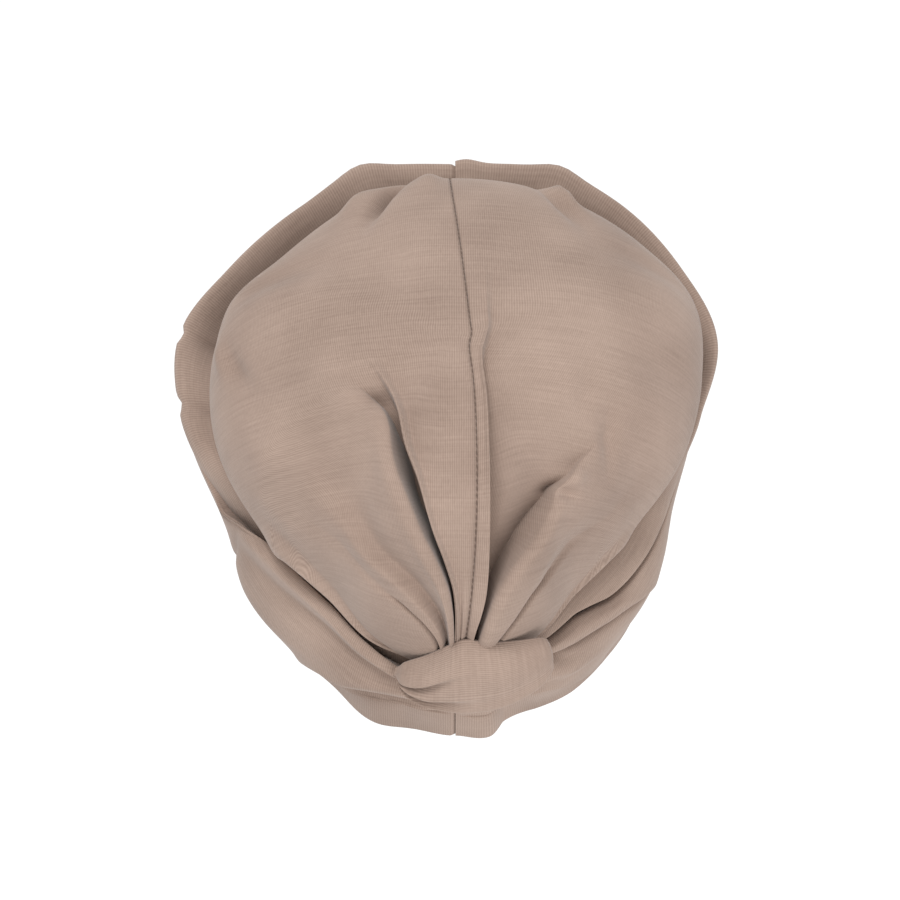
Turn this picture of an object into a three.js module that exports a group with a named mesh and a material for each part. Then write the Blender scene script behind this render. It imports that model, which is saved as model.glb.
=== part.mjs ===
// A knotted jersey turban, standing as it is worn: a loose crown in two halves sewn along the centre line,
// cloth wrapped round both sides in overlapping pleats, and a wound knot over the gathered front.
// Millimetres. +Z is up, -Y is the front, +X is on the right of a viewer in front. The origin is the centre
// of the head at its widest level, which is the level the front hem sits at.
import * as THREE from "three";

// ---- Driving dimensions ----
const CLOTH = 1.8; // wall of the folded double jersey
const HALF_GAP = 0.25; // from the centre plane to each half, at the seams
const TUCK_GAP = 1.2; // between the crown and the wraps in the tuck
const TUCK_LIP = 3; // how far the wraps reach in under the crown
const CENTRE_Y = -2; // the axis that the sections stand round
const APEX_UP = 122; // top of the crown
const CROWN_EDGE = 0.84; // share of the way from apex to tuck at which the crown is widest
const ROLL_SHARE = 0.35; // share of the way from tuck to hem at which the roll is widest
const KNOT_BEARING = 13; // half the bearing that the knot covers, where the crown folds gather
const LAST_BEARING = 24; // where the outermost crown fold meets the tuck
const FOLD_SPREAD = 1.6; // how much the crown folds crowd toward the seam

// How far the centre seam strays to the right on the unit disc: all over, per unit back, and per unit
// squared.
const SEAM_DRIFT = [0.033, -0.072, -0.028];

const CROWN_COLUMNS = 30; // facets across each crown half
const CROWN_ROWS = 18; // facets along each crown fold
const WRAP_COLUMNS = 28; // facets round each wrap
const WRAP_CROWDING = 1.25; // how much the facets of a wrap crowd toward the knot
const WRAP_ROWS = 15; // facets down each wrap

// Round the head, a row for each section: bearing from the front in degrees, then how far out from the axis
// and how high are the hem, the roll, the tuck between roll and crown, and the widest line of the crown, in
// mm. Last, how much slimmer the roll is on the right, and the crown on the left and on the right.
const SECTION_COLUMNS = [
  "bearing", "hemOut", "hemUp", "rollOut", "rollUp", "tuckOut", "tuckUp", "crownOut", "crownUp",
  "rollRightIn", "crownLeftIn", "crownRightIn",
];
const SECTIONS = named(SECTION_COLUMNS, [
  [0, 98, 1, 99, 20, 92, 44, 93, 50, 0, 0, 0],
  [7, 98, 1, 99, 20, 92, 44, 93, 50, 0, 0, 0],
  [11, 97, 0, 98, 21, 91, 44, 92, 50, 5, 0, 0],
  [20, 95, 0, 97, 22, 87, 43, 89, 51, 3, 0, 1],
  [35, 88, -1, 92, 24, 79, 42, 81, 52, 1, 0, 3],
  [60, 83, -5, 90, 24, 77, 42, 83, 56, 3, 0, 5],
  [80, 80, -11, 91, 32, 79, 48, 89, 66, 7, 0, 3],
  [100, 82, -17, 105, 42, 81, 52, 95, 72, 12, 2, 1],
  [115, 86, -24, 115, 50, 85, 58, 101, 78, 6, 6, 1],
  [131, 92, -33, 114, 56, 84, 63, 98, 83, 0, 9, 1],
  [150, 97, -39, 117, 60, 83, 69, 95, 88, -4, 6, 1],
  [162, 98, -41, 122, 62, 82, 72, 94, 90, -1, 2, 1],
  [180, 99, -42, 119, 63, 81, 73, 92, 91, 0, 0, 0],
]);

// Folds that run from the knot over the crown, a row for each: share of the way across from the seam at the
// knot end and at the far end, where along they start and stop, half width in shares across, then how far the
// cloth steps down outward of the line and how deep a furrow it leaves, in mm.
const CROWN_FOLDS_LEFT = [
  { near: 0.03, far: 0.15, start: 0.05, stop: 0.45, width: 0.035, step: 0, furrow: 9 },
  { near: 0.08, far: 0.33, start: 0.05, stop: 0.45, width: 0.06, step: 0, furrow: 3 },
  { near: 0.1, far: 0.43, start: 0.05, stop: 0.5, width: 0.06, step: 0, furrow: -2 },
  { near: 0.53, far: 0.57, start: 0.1, stop: 0.8, width: 0.04, step: 0, furrow: 1.5 },
  { near: 0.58, far: 0.62, start: 0.1, stop: 0.8, width: 0.04, step: 0, furrow: -1.5 },
];
const CROWN_FOLDS_RIGHT = [
  { near: 0.035, far: 0.05, start: 0.03, stop: 0.6, width: 0.04, step: 2, furrow: 3 },
  { near: 0.04, far: 0.16, start: 0.05, stop: 0.45, width: 0.06, step: 0, furrow: 7 },
  { near: 0.08, far: 0.3, start: 0.05, stop: 0.42, width: 0.05, step: 0, furrow: -4 },
  { near: 0.53, far: 0.57, start: 0.1, stop: 0.8, width: 0.04, step: 0, furrow: 1.5 },
  { near: 0.58, far: 0.62, start: 0.1, stop: 0.8, width: 0.04, step: 0, furrow: -1.5 },
];
const CROWN_FOLD_RUN_IN = 0.12; // share along over which a crown fold deepens
const CROWN_FOLD_RUN_OUT = 0.18; // share along over which it dies away
const CROWN_FOLD_REACH = 1.2; // a fold line runs on this much past its stop
const CROWN_FOLD_SEAM = 0.04; // share across over which the folds deepen, so that the halves line up
const CROWN_FOLD_RIM = [0.03, 0.2]; // the folds fade between these shares in from the tuck

// Pleats of the wraps, a row for each: how far down from the tuck the pleat edge lies beside the knot and at
// its far end, how sharply it dives toward that end, the bearing where it ends, half width in shares down,
// and how far the cloth steps in below the edge.
const WRAP_PLEATS_LEFT = [
  { near: 0.13, far: 0.3, dive: 3, stop: 88, width: 0.09, step: 2.5 },
  { near: 0.27, far: 0.85, dive: 1.6, stop: 50, width: 0.12, step: 3 },
];
const WRAP_PLEATS_RIGHT = [
  { near: 0.14, far: 0.32, dive: 2, stop: 88, width: 0.09, step: 2 },
  { near: 0.2, far: 0.78, dive: 3, stop: 76, width: 0.12, step: 3.5 },
  { near: 0.4, far: 0.9, dive: 1.2, stop: 42, width: 0.13, step: 2 },
];
const PLEAT_START = 8; // bearing at which the pleats come out from under the knot
const PLEAT_RUN_IN = 14; // degrees over which a pleat deepens
const PLEAT_RUN_OUT = 0.7; // share of its length after which it dies away
const PLEAT_TOP = 0.1; // share down over which the pleats deepen below the tuck
const PLEAT_FOOT = 0.85; // share down after which they flatten toward the hem

// The knot: a strip wound over the front, lying on the gathered folds. Its seat leans back as it rises.
const KNOT = { level: 48, seatOut: 95.4, seatLean: 0.2, square: 0.8, columns: 22, rows: 24 };

// Across the knot, a row for each section: place across, half height, thickness, and how far it sits up.
const KNOT_SECTIONS = [
  { across: -22, half: 1.5, thick: 2.5, lift: -5 },
  { across: -18.6, half: 5, thick: 7, lift: -4.5 },
  { across: -11, half: 9.5, thick: 10.5, lift: -3.5 },
  { across: -3.4, half: 13, thick: 12, lift: -1.5 },
  { across: 3, half: 15.5, thick: 13, lift: 0 },
  { across: 14, half: 14, thick: 12, lift: -0.5 },
  { across: 23.5, half: 12, thick: 10, lift: 0.5 },
  { across: 31.5, half: 10, thick: 7.5, lift: 2 },
  { across: 34.6, half: 7.5, thick: 5.5, lift: 3 },
  { across: 35.6, half: 4.5, thick: 3, lift: 3 },
];

// Creases along the knot, a row for each: place round its face from the top at the left and right ends in
// degrees, half width in degrees, and depth in mm.
const KNOT_CREASES = [
  { left: 82, right: 60, width: 14, depth: 1.2 },
  { left: 102, right: 112, width: 14, depth: 2.2 },
];

// Steps taken to either side of a place to find the slope of the cloth there.
const CROWN_NUDGE = 0.004; // on the unit disc
const CROWN_TURN = 0.93; // beyond this reach on the disc the wall keeps its direction, round the tight turn
const WRAP_NUDGE = { bearing: 0.5, down: 0.01 };

// ---- Shared shapes ----
const rad = THREE.MathUtils.degToRad;
const clamp = THREE.MathUtils.clamp;
const lerp = THREE.MathUtils.lerp;
const smoothstep = THREE.MathUtils.smoothstep;

// Rows of a table as objects, by the names of its columns.
function named(columns, rows) {
  return rows.map((row) => Object.fromEntries(columns.map((column, i) => [column, row[i]])));
}

// A smooth value from a table, for a row key that rises down the table. The ends level off.
function fromTable(table, key, column, at) {
  const last = table.length - 1;
  const x = clamp(at, table[0][key], table[last][key]);
  let i = 0;
  while (i < last - 1 && x > table[i + 1][key]) i += 1;
  const slope = (k) => {
    if (k === 0 || k === last) return 0;
    return (table[k + 1][column] - table[k - 1][column]) / (table[k + 1][key] - table[k - 1][key]);
  };
  const span = table[i + 1][key] - table[i][key];
  const t = (x - table[i][key]) / span;
  const rise = table[i + 1][column] - table[i][column];
  const bend = t * (1 - t) * (1 - t) * slope(i) - t * t * (1 - t) * slope(i + 1);
  return table[i][column] + rise * t * t * (3 - 2 * t) + bend * span;
}

const section = (bearing, column) => fromTable(SECTIONS, "bearing", column, bearing);

// A point at a bearing in degrees, so far out from the axis and so high. Right is positive.
function standing(bearing, out, up) {
  return new THREE.Vector3(out * Math.sin(rad(bearing)), CENTRE_Y - out * Math.cos(rad(bearing)), up);
}

// The crown without its folds, over a unit disc: the middle is the apex, the rim the tuck, -1 the front.
function crownBase(across, back) {
  const reach = Math.min(Math.hypot(across, back), 1);
  const bearing = THREE.MathUtils.radToDeg(Math.atan2(Math.abs(across), -back));
  const slimmer = section(bearing, across < 0 ? "crownLeftIn" : "crownRightIn");
  const edgeOut = section(bearing, "crownOut") - slimmer;
  const edgeUp = section(bearing, "crownUp");
  const tuckOut = section(bearing, "tuckOut") - slimmer;
  const tuckUp = section(bearing, "tuckUp");
  const over = Math.min(reach / CROWN_EDGE, 1) * Math.PI / 2;
  const under = Math.max((reach - CROWN_EDGE) / (1 - CROWN_EDGE), 0) * Math.PI / 2;
  const out = under > 0 ? lerp(tuckOut, edgeOut, Math.cos(under)) : edgeOut * Math.sin(over);
  const up = under > 0 ? lerp(edgeUp, tuckUp, Math.sin(under)) : lerp(edgeUp, APEX_UP, Math.cos(over));
  return standing(across < 0 ? -bearing : bearing, out, up);
}

// A wrap without its pleats: bearing from the front, and share of the way down from the tuck to the hem.
function wrapBase(side, bearing, down) {
  const tuckUp = section(bearing, "tuckUp") - TUCK_GAP;
  const tuckOut = section(bearing, "tuckOut") - section(bearing, side < 0 ? "crownLeftIn" : "crownRightIn");
  const slimmer = side > 0 ? section(bearing, "rollRightIn") : 0;
  const rollOut = section(bearing, "rollOut") - slimmer;
  const rollUp = section(bearing, "rollUp");
  const over = Math.min(down / ROLL_SHARE, 1) * Math.PI / 2;
  const fall = Math.max((down - ROLL_SHARE) / (1 - ROLL_SHARE), 0);
  if (fall === 0) {
    const out = lerp(tuckOut - TUCK_LIP, rollOut, Math.sin(over));
    return standing(bearing, out, lerp(rollUp, tuckUp, Math.cos(over)));
  }
  const ease = (1 + Math.cos(Math.PI * fall)) / 2;
  const out = lerp(section(bearing, "hemOut") - slimmer, rollOut, ease);
  return standing(bearing, out, lerp(rollUp, section(bearing, "hemUp"), fall));
}

// The outward normal of a surface given by two numbers, from its neighbours.
function normalOf(surface, u, v, du, dv) {
  const a = surface(u + du, v).sub(surface(u - du, v));
  const b = surface(u, v + dv).sub(surface(u, v - dv));
  return a.cross(b).normalize();
}

// Where a point of a crown half lies on the unit disc: share across from the seam, share along from the knot.
function crownPlace(side, across, along) {
  const from = rad(KNOT_BEARING * across);
  const to = Math.PI - (Math.PI - rad(LAST_BEARING)) * across ** FOLD_SPREAD;
  const x = Math.sin(to) - Math.sin(from);
  const y = Math.cos(from) - Math.cos(to);
  const bow = across * Math.tan((to - from) / 4) * 2 * along * (1 - along);
  const right = Math.sin(from) + x * along + y * bow;
  const back = -Math.cos(from) + y * along - x * bow;
  const inside = Math.max(1 - right * right - back * back, 0);
  const drift = SEAM_DRIFT[0] + SEAM_DRIFT[1] * back + SEAM_DRIFT[2] * back * back;
  return [side * right + drift * inside, back];
}

// How far the folds move the crown cloth in or out at a place.
function crownFoldHeight(folds, across, along) {
  let height = 0;
  for (const fold of folds) {
    const line = lerp(fold.near, fold.far, clamp(along / fold.stop, 0, CROWN_FOLD_REACH));
    const x = (across - line) / fold.width;
    const runIn = smoothstep(along, fold.start, fold.start + CROWN_FOLD_RUN_IN);
    const fade = runIn * (1 - smoothstep(along, fold.stop - CROWN_FOLD_RUN_OUT, fold.stop));
    height -= (fold.step * 2 * x * Math.exp(-x * x) + fold.furrow * Math.exp(-x * x)) * fade;
  }
  return height * smoothstep(across, 0, CROWN_FOLD_SEAM);
}

// How far the pleats move the wrap cloth in or out at a place.
function wrapPleatHeight(pleats, bearing, down) {
  let height = 0;
  for (const pleat of pleats) {
    const share = clamp((bearing - PLEAT_START) / (pleat.stop - PLEAT_START), 0, 1);
    const x = (down - lerp(pleat.near, pleat.far, share ** pleat.dive)) / pleat.width;
    const runIn = smoothstep(bearing, PLEAT_START, PLEAT_START + PLEAT_RUN_IN);
    const fade = runIn * (1 - smoothstep(share, PLEAT_RUN_OUT, 1));
    height -= pleat.step * 2 * x * Math.exp(-x * x) * fade;
  }
  return height * smoothstep(down, 0, PLEAT_TOP) * (1 - smoothstep(down, PLEAT_FOOT, 1));
}

// A closed wall from a grid of outer points and the inner points under them.
function wall(outer, inner, flip) {
  const rows = outer.length;
  const columns = outer[0].length;
  const points = [...outer.flat(), ...inner.flat()];
  const shift = rows * columns;
  const faces = [];
  const quad = (a, b, c, d) => {
    faces.push(...(flip ? [a, c, b, a, d, c] : [a, b, c, a, c, d]));
  };
  const id = (r, c, layer) => r * columns + c + layer * shift;
  for (let r = 0; r < rows - 1; r += 1) {
    for (let c = 0; c < columns - 1; c += 1) {
      quad(id(r, c, 0), id(r, c + 1, 0), id(r + 1, c + 1, 0), id(r + 1, c, 0));
      quad(id(r, c, 1), id(r + 1, c, 1), id(r + 1, c + 1, 1), id(r, c + 1, 1));
    }
  }
  for (let c = 0; c < columns - 1; c += 1) {
    quad(id(0, c, 0), id(0, c, 1), id(0, c + 1, 1), id(0, c + 1, 0));
    quad(id(rows - 1, c, 0), id(rows - 1, c + 1, 0), id(rows - 1, c + 1, 1), id(rows - 1, c, 1));
  }
  for (let r = 0; r < rows - 1; r += 1) {
    quad(id(r, 0, 0), id(r + 1, 0, 0), id(r + 1, 0, 1), id(r, 0, 1));
    quad(id(r, columns - 1, 0), id(r, columns - 1, 1), id(r + 1, columns - 1, 1), id(r + 1, columns - 1, 0));
  }
  return solid(points, faces);
}

function solid(points, faces) {
  const geometry = new THREE.BufferGeometry();
  const numbers = points.flatMap((p) => [p.x, p.y, p.z]);
  geometry.setAttribute("position", new THREE.Float32BufferAttribute(numbers, 3));
  geometry.setIndex(faces);
  geometry.computeVertexNormals();
  return geometry;
}

function crownHalf(side, folds) {
  const outer = [];
  const inner = [];
  for (let r = 0; r <= CROWN_ROWS; r += 1) {
    const along = (1 - Math.cos(Math.PI * r / CROWN_ROWS)) / 2;
    outer.push([]);
    inner.push([]);
    for (let c = 0; c <= CROWN_COLUMNS; c += 1) {
      const across = c / CROWN_COLUMNS;
      const [x, y] = crownPlace(side, across, along);
      const held = CROWN_TURN / Math.max(Math.hypot(x, y), CROWN_TURN);
      const normal = normalOf(crownBase, x * held, y * held, CROWN_NUDGE, CROWN_NUDGE);
      const fade = smoothstep(1 - Math.hypot(x, y), ...CROWN_FOLD_RIM);
      const point = crownBase(x, y).addScaledVector(normal, crownFoldHeight(folds, across, along) * fade);
      point.x += side * HALF_GAP;
      outer[r].push(point);
      inner[r].push(point.clone().addScaledVector(normal, -CLOTH));
    }
  }
  return wall(outer, inner, side < 0);
}

function wrap(side, pleats) {
  const outer = [];
  const inner = [];
  const mirror = new THREE.Vector3(side, 1, 1);
  for (let r = 0; r <= WRAP_COLUMNS; r += 1) {
    const bearing = 180 * (r / WRAP_COLUMNS) ** WRAP_CROWDING;
    outer.push([]);
    inner.push([]);
    for (let c = 0; c <= WRAP_ROWS; c += 1) {
      const down = c / WRAP_ROWS;
      const base = (b, d) => wrapBase(side, b, d);
      const normal = normalOf(base, bearing, down, WRAP_NUDGE.bearing, WRAP_NUDGE.down).negate();
      const point = base(bearing, down).addScaledVector(normal, wrapPleatHeight(pleats, bearing, down));
      point.x += HALF_GAP;
      outer[r].push(point.clone().multiply(mirror));
      inner[r].push(point.addScaledVector(normal, -CLOTH).multiply(mirror));
    }
  }
  return wall(outer, inner, side < 0);
}

function knotSolid() {
  const knot = (across, column) => fromTable(KNOT_SECTIONS, "across", column, across);
  const start = KNOT_SECTIONS[0].across;
  const width = KNOT_SECTIONS[KNOT_SECTIONS.length - 1].across - start;
  const points = [];
  const faces = [];
  for (let c = 0; c <= KNOT.columns; c += 1) {
    const share = (1 - Math.cos(Math.PI * c / KNOT.columns)) / 2;
    const across = start + width * share;
    const bearing = THREE.MathUtils.radToDeg(across / KNOT.seatOut);
    for (let r = 0; r < KNOT.rows; r += 1) {
      const round = 360 * r / KNOT.rows;
      const rise = Math.cos(rad(round));
      const bulge = Math.max(Math.sin(rad(round)), 0) ** KNOT.square;
      const lift = Math.sign(rise) * Math.abs(rise) ** KNOT.square;
      const up = KNOT.level + knot(across, "lift") + knot(across, "half") * lift;
      let thick = knot(across, "thick") * bulge;
      for (const crease of KNOT_CREASES) {
        const x = (round - lerp(crease.left, crease.right, share)) / crease.width;
        thick -= crease.depth * Math.exp(-x * x) * Math.sin(Math.PI * share);
      }
      const out = KNOT.seatOut + (KNOT.level - up) * KNOT.seatLean + Math.max(thick, 0);
      points.push(standing(bearing, out, up));
    }
  }
  const id = (c, r) => c * KNOT.rows + (r % KNOT.rows);
  for (let c = 0; c < KNOT.columns; c += 1) {
    for (let r = 0; r < KNOT.rows; r += 1) {
      faces.push(id(c, r), id(c, r + 1), id(c + 1, r + 1), id(c, r), id(c + 1, r + 1), id(c + 1, r));
    }
  }
  for (let r = 1; r < KNOT.rows - 1; r += 1) {
    faces.push(id(0, 0), id(0, r + 1), id(0, r));
    faces.push(id(KNOT.columns, 0), id(KNOT.columns, r), id(KNOT.columns, r + 1));
  }
  return solid(points, faces);
}

// ---- Assembly ----
const group = new THREE.Group();

function add(name, geometry, colour) {
  const material = new THREE.MeshStandardMaterial({ color: colour, roughness: 0.95, metalness: 0 });
  const mesh = new THREE.Mesh(geometry, material);
  mesh.name = name;
  group.add(mesh);
}

add("crown_left", crownHalf(-1, CROWN_FOLDS_LEFT), 0xb39c8b);
add("crown_right", crownHalf(1, CROWN_FOLDS_RIGHT), 0xb39c8b);
add("wrap_left", wrap(-1, WRAP_PLEATS_LEFT), 0xae9786);
add("wrap_right", wrap(1, WRAP_PLEATS_RIGHT), 0xae9786);
add("knot", knotSolid(), 0xb39c8b);

export default group;
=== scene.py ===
"""A knotted jersey turban: a loose crown in two sewn halves, pleated wraps and a wound knot."""
import math
from collections import namedtuple

import bpy
import numpy as np
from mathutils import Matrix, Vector


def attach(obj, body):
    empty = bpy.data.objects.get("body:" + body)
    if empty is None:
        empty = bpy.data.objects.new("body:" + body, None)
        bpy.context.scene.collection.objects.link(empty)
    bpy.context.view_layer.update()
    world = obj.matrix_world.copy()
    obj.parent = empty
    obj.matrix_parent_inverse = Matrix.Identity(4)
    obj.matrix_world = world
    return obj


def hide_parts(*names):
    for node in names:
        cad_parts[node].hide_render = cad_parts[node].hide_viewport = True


bl_info = {
    "name": "Knotted Turban",
    "version": (1, 0, 0),
    "blender": (4, 5, 0),
    "location": "3D View > Sidebar > Turban",
    "description": "Models a knotted jersey turban in its worn shape, with its folds, seam and knit",
    "category": "Add Mesh",
}

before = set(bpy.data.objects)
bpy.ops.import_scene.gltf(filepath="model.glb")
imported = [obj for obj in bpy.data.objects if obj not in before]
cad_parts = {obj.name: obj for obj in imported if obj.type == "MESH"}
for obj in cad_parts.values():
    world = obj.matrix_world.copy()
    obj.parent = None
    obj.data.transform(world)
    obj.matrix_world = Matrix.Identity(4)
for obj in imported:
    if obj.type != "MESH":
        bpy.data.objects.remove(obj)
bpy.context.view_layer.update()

# ---- The shape that the cloth stands in, in mm and degrees unless it says metres ----

# Bearings go round an axis at this y, and the crown's top is this high.
CENTRE_Y = -2.0
APEX_UP = 122.0
# Share of the way from the crown's top to its tuck where it is widest. Past it the cloth turns under.
CROWN_EDGE = 0.84
# Share of the way from the tuck to the hem where the roll of a wrap is widest.
ROLL_SHARE = 0.35
# The lines of the crown leave the knot within the first bearing. They meet the rim from the back round to the
# last bearing, spread by a power.
KNOT_BEARING = 13.0
LAST_BEARING = 24.0
FOLD_SPREAD = 1.6
# How far to the right the seam drifts, in radii of the disc, by the place back: constant, linear, squared.
SEAM_DRIFT = (0.033, -0.072, -0.028)
# Each half is moved this far from the middle.
HALF_GAP = 0.15
# The wraps start this far below the crown's tuck and this far inside it. The undercut draws the crown in
# there. It grows over the first pair, by share of the disc's radius, and over the second, by share across.
TUCK_GAP = 0.5
TUCK_LIP = 4.0
UNDERCUT = 2.0
UNDERCUT_REACH = (CROWN_EDGE - 0.02, 0.97)
UNDERCUT_ACROSS = (0.5, 0.7)
# At the seam the right edge dips by over, and the left edge dips by under and laps below it. The width of the
# groove and of the edges is by share across.
SEAM_OVER = 0.3
SEAM_UNDER = 2.0
SEAM_LAP = 2.5
SEAM_WIDTH = 0.004
SEAM_EDGE = 0.0012
# Where the wraps lap at the front and the back, as bearings.
FRONT_LAP_END = 1.0
BACK_LAP_START = 179.3
# Where folds and dents fade in, from the rim of the crown, its seam and the tuck of a wrap.
CROWN_FADE = (0.02, 0.10)
DENT_FADE = 0.03
WRAP_FADE = 0.02
# Steps for the slope of the plain shapes: on the disc, and in degrees and share down.
CROWN_NUDGE = (0.004, 0.004)
WRAP_NUDGE = (0.5, 0.01)
# How deep a fold is when its cloth takes the full painted shade, and how the painted shade grows on the
# crown.
CROWN_FOLD_DEEP_LEFT = 12.0
CROWN_FOLD_DEEP_RIGHT = 21.0
WRAP_FOLD_DEEP = 9.0
KNOT_FOLD_DEEP = 3.5
CROWN_SHADE_POWER = 1.5
# Metres of flat cloth for the knit. Crown: to the disc's radius. Wrap: to a degree round, and from tuck to
# hem. Knot: to a degree round, and from end to end.
CROWN_CLOTH = 0.17
WRAP_CLOTH = (0.0017, 0.12)
KNOT_CLOTH = (0.00025, 0.06)
# Where the cloth that folds take up stops being added to the knit, by share across.
GATHERED_END = (0.4, 0.5)
# The stitches: thickness in metres, share of the pitch that one takes, the shares of the seam between which
# they run, and how many points the seam is measured at.
STITCH_THICK = 0.00032
STITCH_SHARE = 0.8
STITCH_RUN = (0.06, 0.97)
STITCH_STEPS = 400
# Where the rows of faces go, so that the folds near the knot get most of them: share of the rows, place.
CROWN_ROWS = ((0, 0), (0.08, 0.08), (0.66, 0.46), (0.88, 0.93), (1, 1))
WRAP_ROWS = ((0, 0), (0.5, 50), (0.8, 120), (1, 180))
# How much wider the folds of the crown open: place along, times wider.
CROWN_SPREAD = ((0, 0.6), (0.16, 1), (0.44, 1.3), (0.65, 3), (1, 3))

# Round the head, a row for each section: the hem, the roll, the tuck and the crown's widest line, each as
# how far out and how high. Then how much further in the roll and the hem lie on the right, and how much
# further in the crown and the tuck lie on the left and on the right.
SECTIONS = (
    # bearing, hem out, up, roll out, up, tuck out, up, crown out, up, roll right in, crown left in, right in
    (0, 98, 1, 99, 20, 92, 44, 93, 50, 0, 0, 0),
    (7, 98, 1, 99, 20, 92, 44, 93, 50, 0, 0, 0),
    (11, 97, 0, 98, 21, 91, 44, 92, 50, 5, 0, 0),
    (20, 95, 0, 97, 22, 87, 43, 89, 51, 3, 0, 1),
    (35, 88, -1, 92, 24, 79, 42, 81, 52, 1, 0, 3),
    (60, 83, -5, 90, 24, 77, 42, 83, 56, 3, 0, 5),
    (80, 80, -11, 91, 32, 79, 48, 89, 66, 7, 0, 3),
    (100, 82, -17, 105, 42, 81, 52, 95, 72, 12, 2, 1),
    (115, 86, -24, 115, 50, 85, 58, 101, 78, 6, 6, 1),
    (131, 92, -33, 114, 56, 84, 63, 98, 83, 0, 9, 1),
    (150, 97, -39, 117, 60, 83, 69, 95, 88, -4, 6, 1),
    (162, 98, -41, 122, 62, 82, 72, 94, 90, -1, 2, 1),
    (180, 99, -42, 119, 63, 81, 73, 92, 91, 0, 0, 0),
)
(HEM_OUT, HEM_UP, ROLL_OUT, ROLL_UP, TUCK_OUT, TUCK_UP, CROWN_OUT, CROWN_UP, ROLL_RIGHT_IN, CROWN_LEFT_IN,
 CROWN_RIGHT_IN) = range(1, 12)

# Folds. The cloth is drawn through lines that run along it, a row for each. Faces is how many faces lie
# between the line and the one before, path is where the line runs, aside moves it over, lift is how high the
# cloth stands there in mm, and lean is how far a millimetre of lift moves it over, so that one layer can hang
# over the next. On the crown a path goes by shares along from the knot and shares across from the seam, and
# on the wraps by degrees round from the front and shares down from the tuck.
Edge = namedtuple("Edge", "faces path aside lean lift")

# Paths that both crown halves share. Flat is a lift of none, for any line.
SEAM = ((0, 0), (1, 0))
FLAT = ((0, 0), (1, 0))
OUTER = ((0, 0.50), (0.4, 0.50), (0.6, 0.54), (1, 0.54))
RIM = ((0, 1), (1, 1))

# The left half of the crown: the open pocket beside the seam, then a ridge, a valley and a tuck outside it.
POCKET_RIGHT = ((0, 0.036), (0.14, 0.040), (0.20, 0.049), (0.24, 0.068), (0.28, 0.088), (0.34, 0.106),
                (0.38, 0.124), (0.46, 0.150), (0.60, 0.190), (1, 0.190))
POCKET_LEFT = ((0, 0.046), (0.14, 0.051), (0.20, 0.062), (0.24, 0.084), (0.28, 0.110), (0.32, 0.130),
               (0.36, 0.148), (0.41, 0.158), (0.46, 0.190), (0.60, 0.240), (1, 0.240))
RIDGE_LEFT = ((0, 0.066), (0.16, 0.074), (0.20, 0.096), (0.24, 0.130), (0.28, 0.170), (0.36, 0.210),
              (0.60, 0.320), (1, 0.330))
VALLEY_LEFT = ((0, 0.074), (0.12, 0.080), (0.16, 0.096), (0.21, 0.150), (0.27, 0.240), (0.40, 0.300),
               (0.60, 0.370), (1, 0.380))
BROAD_LEFT = ((0, 0.088), (0.12, 0.096), (0.16, 0.120), (0.21, 0.190), (0.27, 0.290), (0.40, 0.370),
              (0.60, 0.430), (1, 0.430))
TUCK_LEFT = ((0, 0.100), (0.12, 0.112), (0.16, 0.148), (0.18, 0.186), (0.21, 0.250), (0.27, 0.340),
             (0.40, 0.430), (1, 0.470))
POCKET_DEPTH = ((0, -4), (0.08, -8), (0.16, -13), (0.30, -17), (0.36, -14), (0.41, -6), (0.47, 0))
CROWN_LEFT = (
    Edge(0, SEAM, 0, 0, FLAT),
    Edge(16, SEAM, 0.018, 0, ((0, 0), (0.15, 0.8), (0.45, 0.6), (0.65, 0))),
    Edge(14, POCKET_RIGHT, -0.014, 0, ((0.30, 0), (0.37, -2.0), (0.42, -2.0), (0.52, 0))),
    Edge(10, POCKET_RIGHT, -0.002, 0, ((0, 0), (0.10, 1.5), (0.20, 2.0), (0.40, 2.0), (0.52, 0))),
    Edge(8, POCKET_RIGHT, 0.004, -0.0002, POCKET_DEPTH),
    Edge(4, POCKET_LEFT, -0.004, -0.0003, POCKET_DEPTH),
    Edge(8, POCKET_LEFT, 0, -0.002, ((0, 0), (0.10, 1.0), (0.20, 1.5), (0.38, 1.5), (0.46, 0))),
    Edge(10, POCKET_LEFT, 0.016, 0, ((0, 0.5), (0.10, 2.0), (0.20, 4.5), (0.34, 4.5), (0.42, 3.0),
                                     (0.54, 0))),
    Edge(12, RIDGE_LEFT, 0, 0, ((0, 0), (0.12, 1.0), (0.20, 1.5), (0.36, 1.5), (0.50, 0))),
    Edge(12, VALLEY_LEFT, 0, 0, ((0, -1), (0.12, -2.5), (0.20, -3.5), (0.30, -2.5), (0.42, 0))),
    Edge(12, BROAD_LEFT, 0, 0, ((0, 0), (0.12, 1.0), (0.20, 2.0), (0.30, 1.5), (0.42, 0))),
    Edge(10, TUCK_LEFT, -0.002, 0.001, ((0, 0), (0.10, 1.5), (0.16, 1.5), (0.21, 0))),
    Edge(6, TUCK_LEFT, 0.006, 0.001, ((0, -2), (0.10, -3), (0.16, -2.5), (0.21, 0))),
    Edge(8, TUCK_LEFT, 0.030, 0, ((0, 0), (0.10, 1.0), (0.20, 0.5), (0.3, 0))),
    Edge(20, OUTER, 0.03, 0, ((0, 0), (0.15, -1.5), (0.40, -1.5), (0.8, 0))),
    Edge(24, OUTER, 0.08, 0, ((0, 0), (0.15, 1.0), (0.40, 1.8), (0.8, 0))),
    Edge(20, OUTER, 0.13, 0, ((0, 0), (0.20, -1.0), (0.6, -1.0), (0.8, 0))),
    Edge(32, RIM, 0, 0, FLAT),
)

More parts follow.
